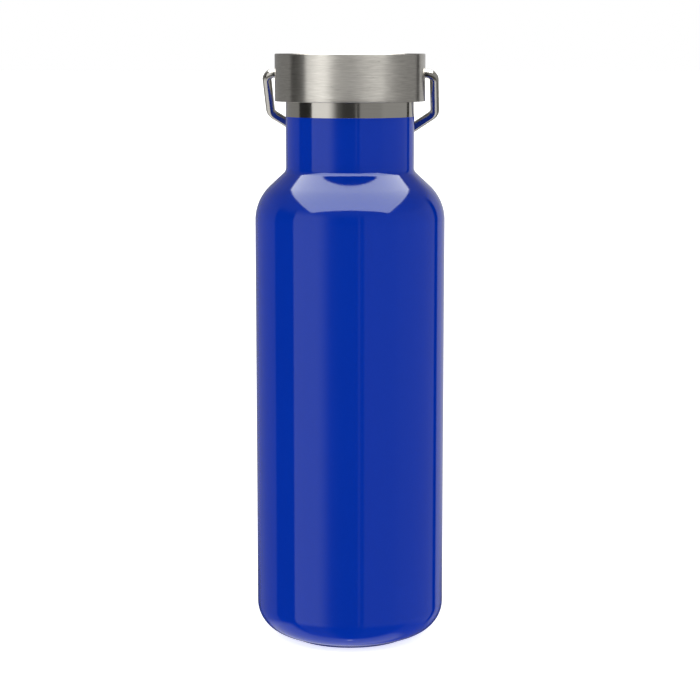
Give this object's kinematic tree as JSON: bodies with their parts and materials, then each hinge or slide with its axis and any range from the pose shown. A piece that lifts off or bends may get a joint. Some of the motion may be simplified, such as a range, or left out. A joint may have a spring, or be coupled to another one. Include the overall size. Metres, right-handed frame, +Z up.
{
  "type": "water bottle",
  "caption": "Tall round double-wall steel drinking bottle with a rounded shoulder, a straight neck, a flat screw lid and a swinging wire handle.",
  "frame": {"origin": "on the floor under the middle of the foot ring, on the bottle's axis", "axes": "+Z up the bottle's axis towards the lid, +X through the handle's pivots, +Y towards the side where the handle rests"},
  "size_m": [0.073, 0.073, 0.227],
  "materials": {
    "blue_paint": "high-gloss royal blue coating on steel, bare polished steel above the neck's paint edge",
    "bare_steel": "polished stainless sheet",
    "brushed_steel": "fine circumferential brushing",
    "polished_wire": "polished stainless wire",
    "lid_plastic": "moulded polypropylene",
    "silicone": "soft translucent silicone",
    "foam": "rigid foam",
    "copper": "bright copper wrap",
    "getter_metal": "sintered pellet",
    "seal_glass": "glass solder"
  },
  "bodies": {
    "flask": {"outer_shell": "blue_paint", "outer_bottom": "blue_paint", "base_cover": "bare_steel", "seal_bead": "seal_glass", "liner_wall": "bare_steel", "liner_bottom": "bare_steel", "copper_foil": "copper", "getter": "getter_metal", "getter_clip": "bare_steel"},
    "seal": {"lid_gasket": "silicone"},
    "lid": {"lid_shell": "brushed_steel", "lid_liner": "lid_plastic", "lid_insulation": "foam", "plug_cover": "lid_plastic"},
    "handle": {"handle": "polished_wire"}
  },
  "joints": [
    {"name": "lid_lift", "type": "slide", "parent": "flask", "child": "seal", "axis": [0, 0, 1], "range_m": [0, 0.01201]},
    {"name": "lid_turn", "type": "hinge", "parent": "seal", "child": "lid", "pos_m": [0, 0, 0.2185], "axis": [0, 0, 1], "range_deg": [0, 1080]},
    {"name": "handle_swing", "type": "hinge", "parent": "lid", "child": "handle", "pos_m": [0, 0, 0.2196], "axis": [1, 0, 0], "range_deg": [0, 270.9]}
  ],
  "couplings": [
    {"joint": "lid_lift", "follows": "lid_turn", "m_per_rad": 0.00063662}
  ]
}
